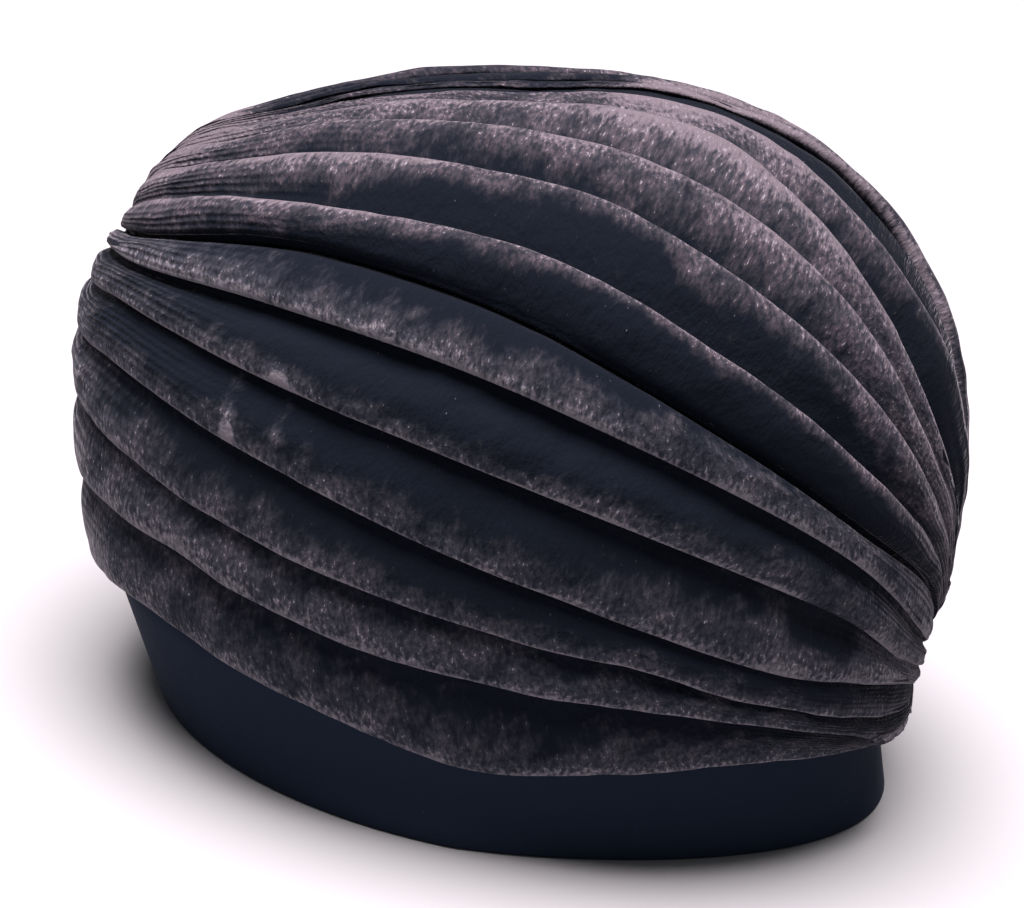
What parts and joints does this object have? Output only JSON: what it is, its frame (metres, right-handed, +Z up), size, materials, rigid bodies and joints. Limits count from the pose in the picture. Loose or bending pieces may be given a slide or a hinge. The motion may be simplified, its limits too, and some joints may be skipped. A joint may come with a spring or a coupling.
{
  "type": "turban headwrap",
  "caption": "Ready-tied velvet turban cap: pleated side and crown panels drawn into a front and a back gather over a plain rim band.",
  "frame": {"origin": "on the surface it stands on, under the middle of the cap's outline in plan", "axes": "+Z up from the rim to the crown, -Y towards the wearer's front, -X towards the wearer's right"},
  "size_m": [0.1892, 0.2326, 0.1759],
  "materials": {
    "pleat_velvet": "soft matte black velvet with a mauve-grey sheen on the folds",
    "band_velvet": "smooth matte blue-black velvet"
  },
  "bodies": {
    "root": {"rim_band": "band_velvet", "pleated_side_panel_right": "pleat_velvet", "pleated_side_panel_left": "pleat_velvet", "pleated_crown_panel": "pleat_velvet"}
  },
  "joints": []
}
